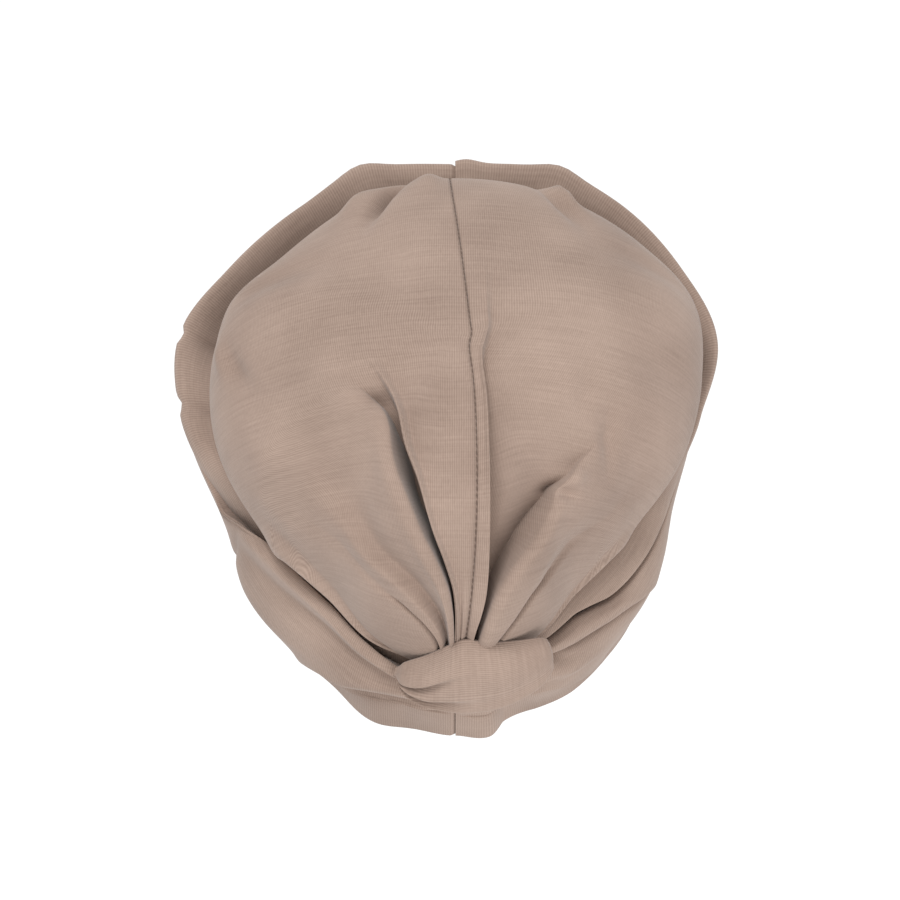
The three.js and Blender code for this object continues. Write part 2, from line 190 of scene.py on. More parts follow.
# The right half of the crown: the pressed fold beside the seam, the valley, and the lip that hangs over it.
PRESSED = ((0, 0.028), (0.14, 0.034), (0.17, 0.040), (0.20, 0.042), (0.27, 0.032), (0.33, 0.027),
           (0.39, 0.025), (0.50, 0.030), (0.60, 0.045), (1, 0.080))
VALLEY_RIGHT = ((0, 0.036), (0.14, 0.044), (0.19, 0.054), (0.24, 0.062), (0.29, 0.080), (0.37, 0.120),
                (0.60, 0.170), (1, 0.200))
LIP = ((0, 0.048), (0.14, 0.060), (0.19, 0.070), (0.21, 0.082), (0.24, 0.112), (0.26, 0.146), (0.29, 0.186),
       (0.31, 0.202), (0.37, 0.244), (0.45, 0.290), (0.60, 0.330), (1, 0.340))
PLEAT_BODY = ((0, 0.085), (0.08, 0.090), (0.13, 0.105), (0.19, 0.135), (0.24, 0.190), (0.29, 0.270),
              (0.37, 0.330), (0.60, 0.430), (1, 0.440))
TUCK_RIGHT = ((0, 0.105), (0.08, 0.112), (0.13, 0.135), (0.16, 0.160), (0.19, 0.185), (0.21, 0.220),
              (0.25, 0.290), (0.35, 0.400), (1, 0.500))
CROWN_RIGHT = (
    Edge(0, SEAM, 0, 0, FLAT),
    Edge(10, SEAM, 0.012, 0, ((0, 0), (0.15, 0.6), (0.45, 0.5), (0.65, 0))),
    Edge(10, PRESSED, -0.003, 0, ((0, 0), (0.08, 1.0), (0.20, 2.0), (0.45, 1.5), (0.62, 0))),
    Edge(8, PRESSED, 0.002, 0.0001, ((0, -2), (0.08, -6), (0.15, -12), (0.24, -13), (0.32, -9), (0.42, -5),
                                     (0.52, -2), (0.62, 0))),
    Edge(18, VALLEY_RIGHT, 0, 0, ((0, -2), (0.08, -5), (0.15, -10), (0.24, -12), (0.30, -8), (0.38, -3.5),
                                  (0.50, 0))),
    Edge(14, LIP, -0.006, -0.001, ((0, -2), (0.08, -5), (0.15, -10), (0.22, -13), (0.27, -12), (0.31, -7),
                                   (0.36, -2), (0.42, 0))),
    Edge(8, LIP, -0.002, -0.004, ((0, 0), (0.08, 0.5), (0.15, 1.5), (0.29, 2.0), (0.36, 1.0), (0.42, 0))),
    Edge(10, LIP, 0.016, 0, ((0, 1), (0.08, 2.5), (0.15, 4.5), (0.24, 6), (0.31, 4.5), (0.40, 1), (0.46, 0))),
    Edge(16, PLEAT_BODY, 0, 0, ((0, 1), (0.10, 3), (0.24, 4.5), (0.34, 2.5), (0.46, 0))),
    Edge(12, TUCK_RIGHT, -0.003, 0.001, ((0, 0), (0.10, 1.5), (0.18, 1.5), (0.23, 0))),
    Edge(6, TUCK_RIGHT, 0.005, 0.001, ((0, -2), (0.10, -3.5), (0.18, -3), (0.23, 0))),
    Edge(8, TUCK_RIGHT, 0.030, 0, ((0, 0), (0.10, 1.5), (0.20, 1.5), (0.3, 0))),
    Edge(20, OUTER, 0.035, 0, ((0, 0), (0.15, -0.8), (0.40, -1.0), (0.8, 0))),
    Edge(24, OUTER, 0.08, 0, ((0, 0), (0.15, 0.4), (0.40, 0.8), (0.8, 0))),
    Edge(20, OUTER, 0.13, 0, FLAT),
    Edge(40, RIM, 0, 0, FLAT),
)

# The left wrap. Groove and crest shape the roll at the sides and the back, and the layers are its pleats.
TOP = ((0, 0), (180, 0))
HEM = ((0, 1), (180, 1))
LAYER_ONE = ((0, 0.14), (12, 0.14), (16, 0.12), (21, 0.10), (33, 0.085), (52, 0.085), (62, 0.11), (71, 0.20),
             (79, 0.33), (90, 0.36), (180, 0.36))
SOFT_DIP = ((0, 0.19), (30, 0.165), (45, 0.18), (62, 0.25), (79, 0.42), (100, 0.48), (180, 0.48))
BULGE = ((0, 0.23), (20, 0.235), (29, 0.30), (42, 0.46), (60, 0.54), (90, 0.58), (180, 0.60))
LAYER_TWO = ((0, 0.26), (10, 0.27), (20, 0.30), (29, 0.43), (36, 0.60), (44, 0.82), (60, 0.80), (180, 0.74))
LAYER_THREE = ((0, 0.34), (8, 0.34), (17, 0.385), (27, 0.62), (36, 0.90), (60, 0.91), (180, 0.87))
GROOVE = ((0, 0.02), (60, 0.02), (100, 0.13), (180, 0.14))
CREST = ((0, 0.045), (60, 0.045), (75, 0.12), (100, 0.27), (180, 0.28))
WRAP_LEFT = (
    Edge(0, TOP, 0, 0, FLAT),
    Edge(6, GROOVE, 0, 0, ((0, 0), (60, -1), (85, -1), (106, -2), (120, -9), (135, -12), (180, -10))),
    Edge(14, CREST, 0, 0, ((0, -1), (60, -1.5), (85, 0), (100, 3), (180, 3))),
    Edge(8, LAYER_ONE, -0.015, -0.006, ((0, -1), (8, -4.0), (60, -4.5), (75, -4.0), (90, 0), (100, 1),
                                        (180, 1))),
    Edge(8, LAYER_ONE, 0.003, -0.010, ((0, 0), (8, 2.0), (60, 2.5), (75, 1.0), (84, 0))),
    Edge(12, LAYER_ONE, 0.025, 0, ((0, 0), (8, 4.0), (58, 4.0), (70, 0.5), (84, 0))),
    Edge(20, SOFT_DIP, 0, 0, ((0, 0), (15, 0), (40, -2.0), (62, -2.0), (80, 0))),
    Edge(20, BULGE, 0, 0, ((0, 0), (15, 1.5), (60, 2.5), (80, 0))),
    Edge(18, LAYER_TWO, -0.02, 0, ((0, 0), (8, 2.5), (38, 3.5), (50, 0))),
    Edge(6, LAYER_TWO, 0.000, 0.010, ((0, 0), (8, 1.0), (38, 1.5), (50, 0))),
    Edge(8, LAYER_TWO, 0.010, 0.010, ((0, 0), (8, -3), (38, -3), (50, 0))),
    Edge(8, LAYER_TWO, 0.030, 0, ((0, 0), (8, -0.5), (38, -0.5), (50, 0))),
    Edge(10, LAYER_THREE, -0.015, 0, ((0, 0), (8, 1.0), (30, 1.0), (42, 0))),
    Edge(6, LAYER_THREE, 0.010, 0.008, ((0, 0), (8, -3), (30, -3), (42, 0))),
    Edge(8, LAYER_THREE, 0.04, 0, ((0, 0), (8, -1.0), (30, -1.0), (42, 0))),
    Edge(36, HEM, 0, 0, ((0, 0), (9, -1.5), (18, 1.0), (30, -0.8), (45, 0))),
)

# The right wrap, with its pleats lapped like shingles.
SHINGLE_ONE = ((0, 0.09), (31, 0.11), (37, 0.13), (44, 0.16), (67, 0.20), (85, 0.30), (100, 0.34),
               (180, 0.34))
SHINGLE_TWO = ((0, 0.16), (23, 0.165), (30, 0.185), (39, 0.21), (49, 0.255), (60, 0.38), (70, 0.62),
               (78, 0.76), (180, 0.74))
SHINGLE_THREE = ((0, 0.40), (20, 0.43), (27, 0.64), (34, 0.84), (42, 0.91), (180, 0.92))
WRAP_RIGHT = (
    Edge(0, TOP, 0, 0, FLAT),
    Edge(6, GROOVE, 0, 0, ((0, 0), (12, -3), (60, -5), (85, -4), (100, -7), (115, -11), (180, -10))),
    Edge(12, CREST, 0, 0, ((0, 0), (12, 1), (24, 3), (70, 3), (85, 1), (100, 3), (180, 3))),
    Edge(8, SHINGLE_ONE, -0.012, 0, ((0, 0), (10, 2.0), (60, 2.5), (85, 0), (100, 1), (180, 1))),
    Edge(6, SHINGLE_ONE, 0.002, 0.004, ((0, 0), (10, -2.5), (60, -3.0), (85, 0))),
    Edge(8, SHINGLE_ONE, 0.018, 0, ((0, 0), (10, 1.5), (60, 1.5), (85, 0))),
    Edge(14, SHINGLE_TWO, -0.018, 0, ((0, 0), (12, 3.0), (40, 4.0), (58, 1.5), (66, -0.5), (80, 0))),
    Edge(8, SHINGLE_TWO, 0.001, 0.006, ((0, 0), (12, 1.5), (40, 2.0), (60, 0.5), (66, -1.0), (80, 0))),
    Edge(8, SHINGLE_TWO, 0.016, 0.004, ((0, 0), (12, -5), (24, -9), (50, -9), (66, -4), (80, 0))),
    Edge(14, SHINGLE_TWO, 0.065, 0, ((0, 0), (12, 0), (24, 0.5), (60, 0), (80, 0))),
    Edge(20, SHINGLE_THREE, -0.03, 0, ((0, 0), (12, 1.5), (34, 2.0), (46, 0))),
    Edge(8, SHINGLE_THREE, 0.01, 0.010, ((0, 0), (12, -3), (34, -3), (46, 0))),
    Edge(14, SHINGLE_THREE, 0.045, 0, ((0, 0), (12, 0.5), (34, 0.5), (46, 0))),
    Edge(34, HEM, 0, 0, ((0, 0), (9, 1.5), (18, -1.2), (30, 0.8), (45, 0))),
)

# Dents and puckers, by their place along and across as above. Turn is the way the long side runs, in degrees
# from along toward across, shape is how many of the along unit one share across stands for, and length and
# width are in the along unit. Lift is in mm, and negative for a dent.
Dent = namedtuple("Dent", "along across shape turn length width lift")

CROWN_LEFT_DENTS = (
    Dent(0.43, 0.165, 0.8, 90, 0.025, 0.012, -2.5),
    Dent(0.79, 0.135, 0.8, -10, 0.065, 0.014, -8.0),
    Dent(0.81, 0.195, 0.8, 0, 0.050, 0.022, 3.0),
    Dent(0.82, 0.060, 0.8, 0, 0.050, 0.022, 2.5),
    Dent(0.60, 0.385, 0.8, 25, 0.050, 0.014, -3.0),
    Dent(0.66, 0.420, 0.8, 20, 0.040, 0.014, 2.5),
    Dent(0.77, 0.460, 0.8, 40, 0.040, 0.016, -2.0),
    Dent(0.68, 0.300, 0.8, 60, 0.070, 0.022, -2.5),
    Dent(0.52, 0.300, 0.8, 50, 0.080, 0.030, -2.0),
    Dent(0.46, 0.400, 0.8, 50, 0.060, 0.025, 1.8),
)
CROWN_RIGHT_DENTS = (
    Dent(0.315, 0.215, 0.8, 80, 0.022, 0.008, -3.0),
    Dent(0.340, 0.225, 0.8, 70, 0.022, 0.012, 2.0),
    Dent(0.42, 0.280, 0.8, -30, 0.040, 0.016, -2.2),
    Dent(0.46, 0.200, 0.8, -10, 0.030, 0.010, -1.4),
    Dent(0.84, 0.225, 0.8, 0, 0.040, 0.012, 4.5),
    Dent(0.77, 0.202, 0.8, 0, 0.060, 0.014, -3.5),
    Dent(0.70, 0.300, 0.8, 60, 0.070, 0.022, -2.0),
    Dent(0.56, 0.330, 0.8, 50, 0.080, 0.030, -1.8),
    Dent(0.62, 0.090, 0.8, 20, 0.060, 0.030, -1.2),
)
WRAP_LEFT_DENTS = (
    Dent(115.2, 0.25, 120, 90, 40, 1.0, -2.2),
    Dent(101.2, 0.25, 120, 84, 40, 1.2, -2.0),
    Dent(163, 0.25, 120, 90, 30, 4.0, 2.5),
    Dent(70, 0.60, 60, 90, 20, 1.5, -1.5),
)
WRAP_RIGHT_DENTS = (
    Dent(22, 0.20, 60, 40, 8, 2.0, -2.5),
    Dent(26, 0.30, 60, 30, 8, 2.0, 2.0),
    Dent(161, 0.25, 120, 90, 30, 4.0, 2.5),
    Dent(178, 0.25, 120, 90, 30, 3.0, 2.0),
)

# The knot: how high its middle is, how far out its seat is there, and how much further out a mm lower down.
KNOT_LEVEL = 48.0
KNOT_SEAT_OUT = 95.4
KNOT_SEAT_LEAN = 0.2
# Below 1 the sections get squarer.
KNOT_SQUARE = 0.8
# Its folds fade in over the first degrees round and out over the last, and toward both ends by a power.
KNOT_FADE_IN = (5, 40)
KNOT_FADE_OUT = (160, 178)
KNOT_END_POWER = 0.3
# Rows from end to end, and columns on the back with both edges counted.
KNOT_ROWS = 180
KNOT_BACK_COLUMNS = 50
KNOT_SECTIONS = (
    # across, half height, thickness, lift
    (-22, 1.5, 2.5, -5),
    (-18.6, 5, 7, -4.5),
    (-11, 9.0, 10.5, -3.2),
    (-3.4, 12.5, 12, -1.0),
    (3, 14.5, 13, 0.5),
    (14, 13.2, 12, -0.5),
    (23.5, 11.5, 10, -0.5),
    (31.5, 9.5, 7.5, 0),
    (34.6, 7.0, 5.5, 0.5),
    (35.6, 4.5, 3, 0.5),
)

# Lines along the knot, by share across from the left and degrees round from the top through the front.
KNOT_TOP = ((0, 0), (1, 0))
KNOT_UPPER = ((0, 82), (0.12, 78), (0.35, 66), (1, 60))
KNOT_MIDDLE = ((0, 92), (0.10, 100), (0.25, 104), (0.5, 100), (1, 86))
KNOT_LOWER = ((0, 102), (0.10, 122), (0.25, 134), (0.45, 136), (0.65, 130), (0.85, 122), (1, 110))
KNOT_FOOT = ((0, 180), (1, 180))
KNOT_FOLDS = (
    Edge(0, KNOT_TOP, 0, 0, FLAT),
    Edge(30, KNOT_UPPER, -12, 0, ((0, 0), (0.08, 1.2), (0.3, 0.8), (0.6, 0))),
    Edge(12, KNOT_UPPER, 0, -2, ((0, -0.5), (0.08, -2.4), (0.22, -1.8), (0.42, 0))),
    Edge(12, KNOT_MIDDLE, -10, 0, ((0, 0), (0.08, 1.0), (0.3, 0.8), (0.6, 0))),
    Edge(10, KNOT_MIDDLE, 0, -2, ((0, -0.5), (0.08, -2.6), (0.25, -2.2), (0.5, 0))),
    Edge(16, KNOT_LOWER, -8, 0, ((0, 0), (0.08, 1.2), (0.9, 1.6), (1, 0.5))),
    Edge(8, KNOT_LOWER, 0, 0, ((0, 0), (0.08, 0.4), (0.9, 0.6), (1, 0))),
    Edge(8, KNOT_LOWER, 4, -3, ((0, -0.5), (0.08, -3.6), (0.4, -4.6), (0.9, -3.8), (1, -0.5))),
    Edge(14, KNOT_LOWER, 20, 0, ((0, 0), (0.08, 0.2), (0.9, 0.2), (1, 0))),
    Edge(24, KNOT_FOOT, 0, 0, FLAT),
)

# ---- The knit, as metres or as shares ----

JERSEY = {"Roughness": 0.92, "Specular IOR Level": 0.18, "Sheen Weight": 0.18, "Sheen Roughness": 0.5}
RIB_WAVER = {"Distortion": 1.2, "Detail": 1.0, "Detail Scale": 0.6}
# Grains in a metre of flat cloth, across the ribs and along them, and in a metre of space for the mottle.
DASH_GRAIN = (900, 420)
SLUB_GRAIN = (35, 1100)
MOTTLE_GRAIN = 22.0
# How much each part of the knit shows in its relief and in its tone.
RIB_RELIEF = 0.65
DASH_RELIEF = 0.5
SLUB_RELIEF = 0.3
KNIT_TONE = 0.34
SLUB_TONE = 0.36
MOTTLE_TONE = 0.65
# The tones at which the darker yarn and the full colour are reached.
TONE_DARK = 0.42
TONE_FULL = 0.95
# How much of the painted shade colour a fold at full painted shade takes.
PAINTED_SHADE_SHARE = 0.85
BUMP_STRENGTH = 0.3
BUMP_HEIGHT = 0.0004

# ---- The stage, in metres ----

FLOOR_WIDE = 30
FLOOR_UP = -1.2
WORLD_STRENGTH = 0.92
# Name, place, width and watts of each light. Both point at the same place.
LIGHTS = (("key", (-0.4, 0.25, 1.8), 0.7, 17), ("fill", (0.6, -1.8, 0.5), 1.2, 16))
LIGHT_AIM = Vector((0, 0, 0.04))
# The camera looks down at its aim by the tilt in degrees, and the view is so wide there.
CAMERA_TILT = 57
CAMERA_AIM = Vector((-0.0019, 0.0016, 0.041))
CAMERA_AWAY = 1.5
VIEW_WIDE = 0.342
SENSOR_WIDE = 36

# ---- What a user can change ----

class TurbanSizes(bpy.types.PropertyGroup):
    """Sizes of the cloth and its sewing"""
    cloth: bpy.props.FloatProperty(
        name="Cloth", description="Thickness of the folded double jersey",
        default=0.0011, min=0.0005, max=0.003, subtype="DISTANCE", unit="LENGTH")
    wale: bpy.props.FloatProperty(
        name="Wale", description="Distance from one rib of the knit to the next",
        default=0.00085, min=0.0004, max=0.003, subtype="DISTANCE", unit="LENGTH")
    seam_depth: bpy.props.FloatProperty(
        name="Seam Depth", description="How deep the centre seam lies in the cloth",
        default=0.0004, min=0.0, max=0.003, subtype="DISTANCE", unit="LENGTH")
    stitch: bpy.props.FloatProperty(
        name="Stitch", description="Length from one stitch of the seam to the next",
        default=0.0026, min=0.001, max=0.006, subtype="DISTANCE", unit="LENGTH")
    fineness: bpy.props.IntProperty(
        name="Fineness", description="Rows of points along each sheet of cloth",
        default=218, min=60, max=220)


class TurbanColours(bpy.types.PropertyGroup):
    """Colours of the cloth"""
    cloth: bpy.props.FloatVectorProperty(
        name="Cloth", description="Colour of the jersey", subtype="COLOR", size=3,
        default=(0.38, 0.282, 0.230), min=0.0, max=1.0)
    slub: bpy.props.FloatVectorProperty(
        name="Slub", description="Colour of the darker yarn in the jersey", subtype="COLOR", size=3,
        default=(0.215, 0.152, 0.120), min=0.0, max=1.0)
    # Painted shade: the colour that the deep folds are darkened toward.
    full_shade: bpy.props.FloatVectorProperty(
        name="Deep", description="Colour of the jersey down in its deepest folds", subtype="COLOR", size=3,
        default=(0.12, 0.083, 0.065), min=0.0, max=1.0)
    thread: bpy.props.FloatVectorProperty(
        name="Thread", description="Colour of the sewing thread", subtype="COLOR", size=3,
        default=(0.12, 0.08, 0.06), min=0.0, max=1.0)
    floor: bpy.props.FloatVectorProperty(
        name="Floor", description="Colour of the floor", subtype="COLOR", size=3,
        default=(0.95, 0.95, 0.95), min=0.0, max=1.0)


# ---- Shapes ----

def from_rows(rows, column, at):
    """Smooth values from a table whose first column rises. The ends level off."""
    keys = np.array([row[0] for row in rows], float)
    values = np.array([row[column] for row in rows], float)
    slopes = np.zeros(len(keys))
    slopes[1:-1] = (values[2:] - values[:-2]) / (keys[2:] - keys[:-2])
    at = np.clip(at, keys[0], keys[-1])
    i = np.clip(np.searchsorted(keys, at, side="right") - 1, 0, len(keys) - 2)
    span = keys[i + 1] - keys[i]
    t = (at - keys[i]) / span
    rise = values[i + 1] - values[i]
    bend = t * (1 - t) ** 2 * slopes[i] - t * t * (1 - t) * slopes[i + 1]
    return values[i] + rise * t * t * (3 - 2 * t) + bend * span


def soft_step(value, low, high):
    """Nought below low, one above high, smooth between."""
    t = np.clip((value - low) / (high - low), 0, 1)
    return t * t * (3 - 2 * t)


def section(bearing, column):
    """A size of the section at each bearing."""
    return from_rows(SECTIONS, column, bearing)


def standing(bearing, out, up):
    """Points at a bearing from the front, so far out from the axis and so high."""
    turn = np.radians(bearing)
    return np.stack([out * np.sin(turn), CENTRE_Y - out * np.cos(turn), up], axis=-1)


def crown_base(across, back):
    """The crown without its folds, over a unit disc whose rim is the tuck."""
    reach = np.minimum(np.hypot(across, back), 1)
    bearing = np.degrees(np.arctan2(np.abs(across), -back))
    slimmer = np.where(across < 0, section(bearing, CROWN_LEFT_IN), section(bearing, CROWN_RIGHT_IN))
    edge_out = section(bearing, CROWN_OUT) - slimmer
    edge_up = section(bearing, CROWN_UP)
    tuck_out = section(bearing, TUCK_OUT) - slimmer
    tuck_up = section(bearing, TUCK_UP)
    over = np.minimum(reach / CROWN_EDGE, 1) * math.pi / 2
    under = np.maximum((reach - CROWN_EDGE) / (1 - CROWN_EDGE), 0) * math.pi / 2
    out = np.where(under > 0, tuck_out + (edge_out - tuck_out) * np.cos(under), edge_out * np.sin(over))
    up = np.where(under > 0, edge_up - (edge_up - tuck_up) * np.sin(under),
                  edge_up + (APEX_UP - edge_up) * np.cos(over))
    return standing(np.where(across < 0, -bearing, bearing), out, up)


def wrap_base(side, bearing, down):
    """A wrap without its pleats, from the tuck at 0 to the hem at 1."""
    tuck_up = section(bearing, TUCK_UP) - TUCK_GAP
    slimmer = section(bearing, CROWN_LEFT_IN if side < 0 else CROWN_RIGHT_IN)
    tuck_out = section(bearing, TUCK_OUT) - slimmer - TUCK_LIP
    right_in = section(bearing, ROLL_RIGHT_IN) if side > 0 else 0
    roll_out = section(bearing, ROLL_OUT) - right_in
    roll_up = section(bearing, ROLL_UP)
    over = np.clip(down / ROLL_SHARE, 0, 1) * math.pi / 2
    fall = np.maximum((down - ROLL_SHARE) / (1 - ROLL_SHARE), 0)
    ease = (1 + np.cos(math.pi * np.minimum(fall, 1))) / 2
    hem_out = section(bearing, HEM_OUT) - right_in
    out = np.where(fall > 0, hem_out + (roll_out - hem_out) * ease,
                   tuck_out + (roll_out - tuck_out) * np.sin(over))
    up = np.where(fall > 0, roll_up + (section(bearing, HEM_UP) - roll_up) * fall,
                  roll_up + (tuck_up - roll_up) * np.cos(over))
    return standing(bearing, out, up) * np.array([side, 1, 1])


def normals_of(surface, u, v, du, dv):
    """Unit normals of a surface of two numbers."""
    a = surface(u + du, v) - surface(u - du, v)
    b = surface(u, v + dv) - surface(u, v - dv)
    normal = np.cross(a, b)
    return normal / np.maximum(np.linalg.norm(normal, axis=-1, keepdims=True), 1e-9)


def crown_place(side, across, along):
    """Where a point of a crown half lies on the unit disc. The lines along bow more toward the rim."""
    start = np.radians(KNOT_BEARING * across)
    end = math.pi - (math.pi - math.radians(LAST_BEARING)) * np.maximum(across, 0) ** FOLD_SPREAD
    x = np.sin(end) - np.sin(start)
    y = np.cos(start) - np.cos(end)
    bow = across * np.tan((end - start) / 4) * 2 * along * (1 - along)
    right = np.sin(start) + x * along + y * bow
    back = -np.cos(start) + y * along - x * bow
    inside = np.maximum(1 - right * right - back * back, 0)
    drift = SEAM_DRIFT[0] + SEAM_DRIFT[1] * back + SEAM_DRIFT[2] * back * back
    return side * right + drift * inside, back


def drawn_through(edges, at, spread):
    """Where each column of the cloth lies and how high it stands, with a row for each place along."""
    keys = np.cumsum([edge.faces for edge in edges]).astype(float)
    lifts = np.stack([from_rows(edge.lift, 1, at) for edge in edges], axis=-1)
    places = np.stack([from_rows(edge.path, 1, at) + edge.aside * spread for edge in edges], axis=-1)
    places = places + lifts * np.array([edge.lean for edge in edges])
    columns = np.arange(int(keys[-1]) + 1, dtype=float)
    i = np.clip(np.searchsorted(keys, columns, side="right") - 1, 0, len(keys) - 2)
    span = keys[i + 1] - keys[i]
    t = (columns - keys[i]) / span
    drawn = []
    for values in (places, lifts):
        grade = np.diff(values, axis=1) / np.diff(keys)
        before, after = grade[:, :-1], grade[:, 1:]
        slopes = np.zeros_like(values)
        slopes[:, 1:-1] = np.where(before * after > 0, 2 * before * after / (before + after + 1e-12), 0)
        if values is places:
            slopes[:, 0], slopes[:, -1] = grade[:, 0], grade[:, -1]
        rise = values[:, i + 1] - values[:, i]
        bend = t * (1 - t) ** 2 * slopes[:, i] - t * t * (1 - t) * slopes[:, i + 1]
        drawn.append(values[:, i] + rise * t * t * (3 - 2 * t) + bend * span)
    return drawn[0], drawn[1]


def dent_lift(dents, along, across):
    """How far the dents and puckers lift the cloth, in mm."""
    lift = np.zeros_like(across)
    for dent in dents:
        turn = math.radians(dent.turn)
        x, y = along - dent.along, (across - dent.across) * dent.shape
        ahead = (x * math.cos(turn) + y * math.sin(turn)) / dent.length
        aside = (y * math.cos(turn) - x * math.sin(turn)) / dent.width
        lift += dent.lift * np.exp(-ahead ** 2 - aside ** 2)
    return lift


def laid_flat(points, base, flat, gathered):
    """Flat places for a folded sheet. What the folds take up across is added, so the knit keeps its width."""
    folded = np.linalg.norm(np.diff(points, axis=1), axis=-1) / 1000
    plain = np.linalg.norm(np.diff(base, axis=1), axis=-1) / 1000
    spare = np.cumsum(np.maximum(folded - plain, 0) * gathered, axis=1)
    toward = np.sign(flat[:, -1, 0] - flat[:, 0, 0])[:, None]
    flat = flat.copy()
    flat[:, 1:, 0] += spare * toward
    return flat


def crown_points(side, edges, dents, along, seam_depth):
    """Points of a crown half, in mm, and where each lies in the flat cloth."""
    across, lift = drawn_through(edges, along, from_rows(CROWN_SPREAD, 1, along))
    along = along[:, None] + np.zeros_like(across)
    lift = lift + dent_lift(dents, along, across) * soft_step(across, 0, DENT_FADE)
    x, y = crown_place(side, np.clip(across, 0, 1), along)
    normal = normals_of(crown_base, x, y, *CROWN_NUDGE)
    fade = soft_step(1 - np.hypot(x, y), *CROWN_FADE)
    edge = 1 - soft_step(across, 0, SEAM_EDGE)
    seam = seam_depth * np.exp(-(across / SEAM_WIDTH) ** 2) + edge * (SEAM_UNDER if side < 0 else SEAM_OVER)
    base = crown_base(x, y)
    under = soft_step(np.hypot(x, y), *UNDERCUT_REACH) * soft_step(across, *UNDERCUT_ACROSS)
    points = base + normal * (lift * fade - seam - UNDERCUT * under)[..., None]
    points[..., 0] += edge * SEAM_LAP * (side < 0)
    # Painted shade: how far into its full shade each point is, by the depth of its fold.
    full_shade = CROWN_FOLD_DEEP_LEFT if side < 0 else CROWN_FOLD_DEEP_RIGHT
    painted_shade = np.clip(-lift * fade / full_shade, 0, 1) ** CROWN_SHADE_POWER
    gathered = 1 - soft_step(across[:, 1:], *GATHERED_END)
    flat = np.stack([x * CROWN_CLOTH, y * CROWN_CLOTH], axis=-1)
    return points, laid_flat(points, base, flat, gathered), painted_shade


def wrap_points(side, edges, dents, bearing):
    """Points of a wrap, in mm, and where each lies in the flat cloth."""
    down, lift = drawn_through(edges, bearing, 1)
    bearing = bearing[:, None] + np.zeros_like(down)
    lift = lift + dent_lift(dents, bearing, down)
    down = np.clip(down, 0, 1)
    normal = -side * normals_of(lambda b, d: wrap_base(side, b, d), bearing, down, *WRAP_NUDGE)
    fade = soft_step(down, 0.0, WRAP_FADE)
    points = wrap_base(side, bearing, down) + normal * (lift * fade)[..., None]
    ends = (1 - soft_step(bearing, 0, FRONT_LAP_END)) + soft_step(bearing, BACK_LAP_START, 180)
    if side < 0:
        points = points - normal * (ends * SEAM_UNDER)[..., None]
        points[..., 0] += ends * SEAM_LAP
    flat = np.stack([side * bearing * WRAP_CLOTH[0], down * WRAP_CLOTH[1]], axis=-1)
    # The last value is the painted shade of the pleats, by how deep they lie.
    return points, flat, -lift * fade / WRAP_FOLD_DEEP


def knot_points(share):
    """Points of the knot, in mm, a row for each share across, from the top round through the front."""
    turn, lift = drawn_through(KNOT_FOLDS, share, 1)
    back = np.linspace(180, 360, KNOT_BACK_COLUMNS)[None, 1:-1] + np.zeros((len(share), 1))
    turn = np.concatenate([turn, back], axis=1)
    lift = np.concatenate([lift, np.zeros_like(back)], axis=1)
    start, end = KNOT_SECTIONS[0][0], KNOT_SECTIONS[-1][0]
    share = share[:, None] + np.zeros_like(turn)
    across = start + (end - start) * share
    half = from_rows(KNOT_SECTIONS, 1, across)
    thick = from_rows(KNOT_SECTIONS, 2, across)
    rise = np.cos(np.radians(turn))
    up = KNOT_LEVEL + from_rows(KNOT_SECTIONS, 3, across) + half * np.sign(rise) * np.abs(rise) ** KNOT_SQUARE
    swell = np.sin(np.radians(np.clip(turn, 0, 180))) ** KNOT_SQUARE
    face = soft_step(turn, *KNOT_FADE_IN) * (1 - soft_step(turn, *KNOT_FADE_OUT))
    face = face * np.sin(math.pi * share) ** KNOT_END_POWER
    out = KNOT_SEAT_OUT + (KNOT_LEVEL - up) * KNOT_SEAT_LEAN + np.maximum(thick * swell + lift * face, 0)
    # The last value is the painted shade of the knot's folds, by how deep they lie.
    return standing(np.degrees(across / KNOT_SEAT_OUT), out, up), turn, share, -lift / KNOT_FOLD_DEEP


# ---- Making pieces ----

def grid_object(name, points, flat, painted_shade, flip=False, wrap_columns=False):
    """A mesh object from a grid of points in mm, with flat places in metres and the painted shade of its
    folds.
    """
    rows, columns = points.shape[:2]
    index = np.arange(rows * columns).reshape(rows, columns)
    if wrap_columns:
        index = np.concatenate([index, index[:, :1]], axis=1)
    quads = np.stack([index[:-1, :-1], index[:-1, 1:], index[1:, 1:], index[1:, :-1]], axis=-1).reshape(-1, 4)
    if flip:
        quads = quads[:, ::-1]
    mesh = bpy.data.meshes.new(name)
    mesh.from_pydata((points.reshape(-1, 3) / 1000).tolist(), [], quads.tolist())
    uv = mesh.uv_layers.new(name="cloth")
    corners = np.empty(len(mesh.loops), dtype=np.int32)
    mesh.loops.foreach_get("vertex_index", corners)
    uv.data.foreach_set("uv", flat.reshape(-1, 2)[corners].astype(np.float32).ravel())
    # The painted shade of the folds, kept on each point for the material.
    fold_shade = mesh.attributes.new("fold_shade", "FLOAT", "POINT")
    fold_shade.data.foreach_set("value", np.clip(painted_shade, 0, 1).astype(np.float32).ravel())
    mesh.polygons.foreach_set("use_smooth", [True] * len(mesh.polygons))
    mesh.update()
    piece = bpy.data.objects.new(name, mesh)
    bpy.context.collection.objects.link(piece)
    return piece


def select_only(piece=None):
    """Select this object and no other, or none at all."""
    for other in bpy.context.selected_objects:
        other.select_set(False)
    if piece:
        bpy.context.view_layer.objects.active = piece
        piece.select_set(True)


def apply_modifier(piece, kind, **settings):
    """Add a modifier to a piece and apply it."""
    select_only(piece)
    modifier = piece.modifiers.new(kind.title(), kind)
    for key, value in settings.items():
        setattr(modifier, key, value)
    bpy.ops.object.modifier_apply(modifier=modifier.name)
    piece.select_set(False)


